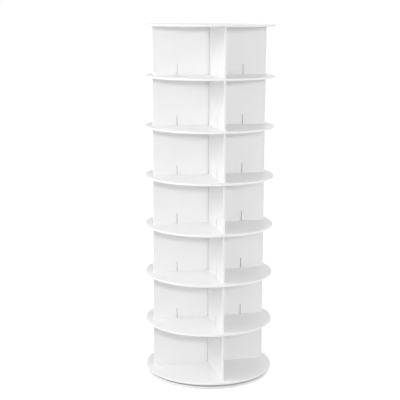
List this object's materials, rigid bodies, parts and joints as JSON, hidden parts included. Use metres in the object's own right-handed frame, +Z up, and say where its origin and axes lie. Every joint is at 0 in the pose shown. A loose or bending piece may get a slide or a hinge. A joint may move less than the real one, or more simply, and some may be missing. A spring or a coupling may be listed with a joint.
{
  "type": "rotating shoe tower",
  "caption": "Rotating shoe tower: round shelves stacked on cross dividers that form open quarter compartments, turning on a ball ring above a fixed floor disc.",
  "frame": {"origin": "on the floor, on the turning axis", "axes": "+Z up along the turning axis; the dividers stand on the +X, +Y, -X and -Y sides of it"},
  "size_m": [0.4999, 0.5, 1.3775],
  "materials": {
    "shelf_board": "white foamed PVC board, satin",
    "divider_board": "white foamed PVC board, satin",
    "ring_metal": "turned, satin",
    "cage_metal": "rolled strip",
    "ball_steel": "polished",
    "screw_steel": "zinc plated",
    "screw_white": "white painted heads",
    "pad_rubber": "matt"
  },
  "bodies": {
    "foot": {"anti_slip_pads": "pad_rubber", "lower_base_disc": "shelf_board", "bearing_outer_ring": "ring_metal", "outer_ring_screws": "screw_steel"},
    "ball_train": {"ball_cage": "cage_metal", "bearing_balls": "ball_steel"},
    "tower": {"bearing_inner_ring": "ring_metal", "inner_ring_screws": "screw_steel", "turntable_disc": "shelf_board", "turntable_screws": "screw_steel", "divider_1_right": "divider_board", "divider_1_back": "divider_board", "divider_1_left": "divider_board", "divider_1_front": "divider_board", "divider_2_right": "divider_board", "divider_2_back": "divider_board", "divider_2_left": "divider_board", "divider_2_front": "divider_board", "divider_3_right": "divider_board", "divider_3_back": "divider_board", "divider_3_left": "divider_board", "divider_3_front": "divider_board", "divider_4_right": "divider_board", "divider_4_back": "divider_board", "divider_4_left": "divider_board", "divider_4_front": "divider_board", "divider_5_right": "divider_board", "divider_5_back": "divider_board", "divider_5_left": "divider_board", "divider_5_front": "divider_board", "divider_6_right": "divider_board", "divider_6_back": "divider_board", "divider_6_left": "divider_board", "divider_6_front": "divider_board", "divider_7_right": "divider_board", "divider_7_back": "divider_board", "divider_7_left": "divider_board", "divider_7_front": "divider_board", "shelf_disc_1": "shelf_board", "shelf_disc_2": "shelf_board", "shelf_disc_3": "shelf_board", "shelf_disc_4": "shelf_board", "shelf_disc_5": "shelf_board", "shelf_disc_6": "shelf_board", "top_disc": "shelf_board", "top_disc_screws": "screw_white"}
  },
  "joints": [
    {"name": "tower_spin", "type": "hinge", "parent": "foot", "child": "tower", "pos_m": [0, 0, 0.01425], "axis": [0, 0, 1], "continuous": true},
    {"name": "ball_train_spin", "type": "hinge", "parent": "foot", "child": "ball_train", "pos_m": [0, 0, 0.01425], "axis": [0, 0, 1], "continuous": true}
  ],
  "couplings": [
    {"joint": "ball_train_spin", "follows": "tower_spin", "ratio": 0.49094}
  ]
}
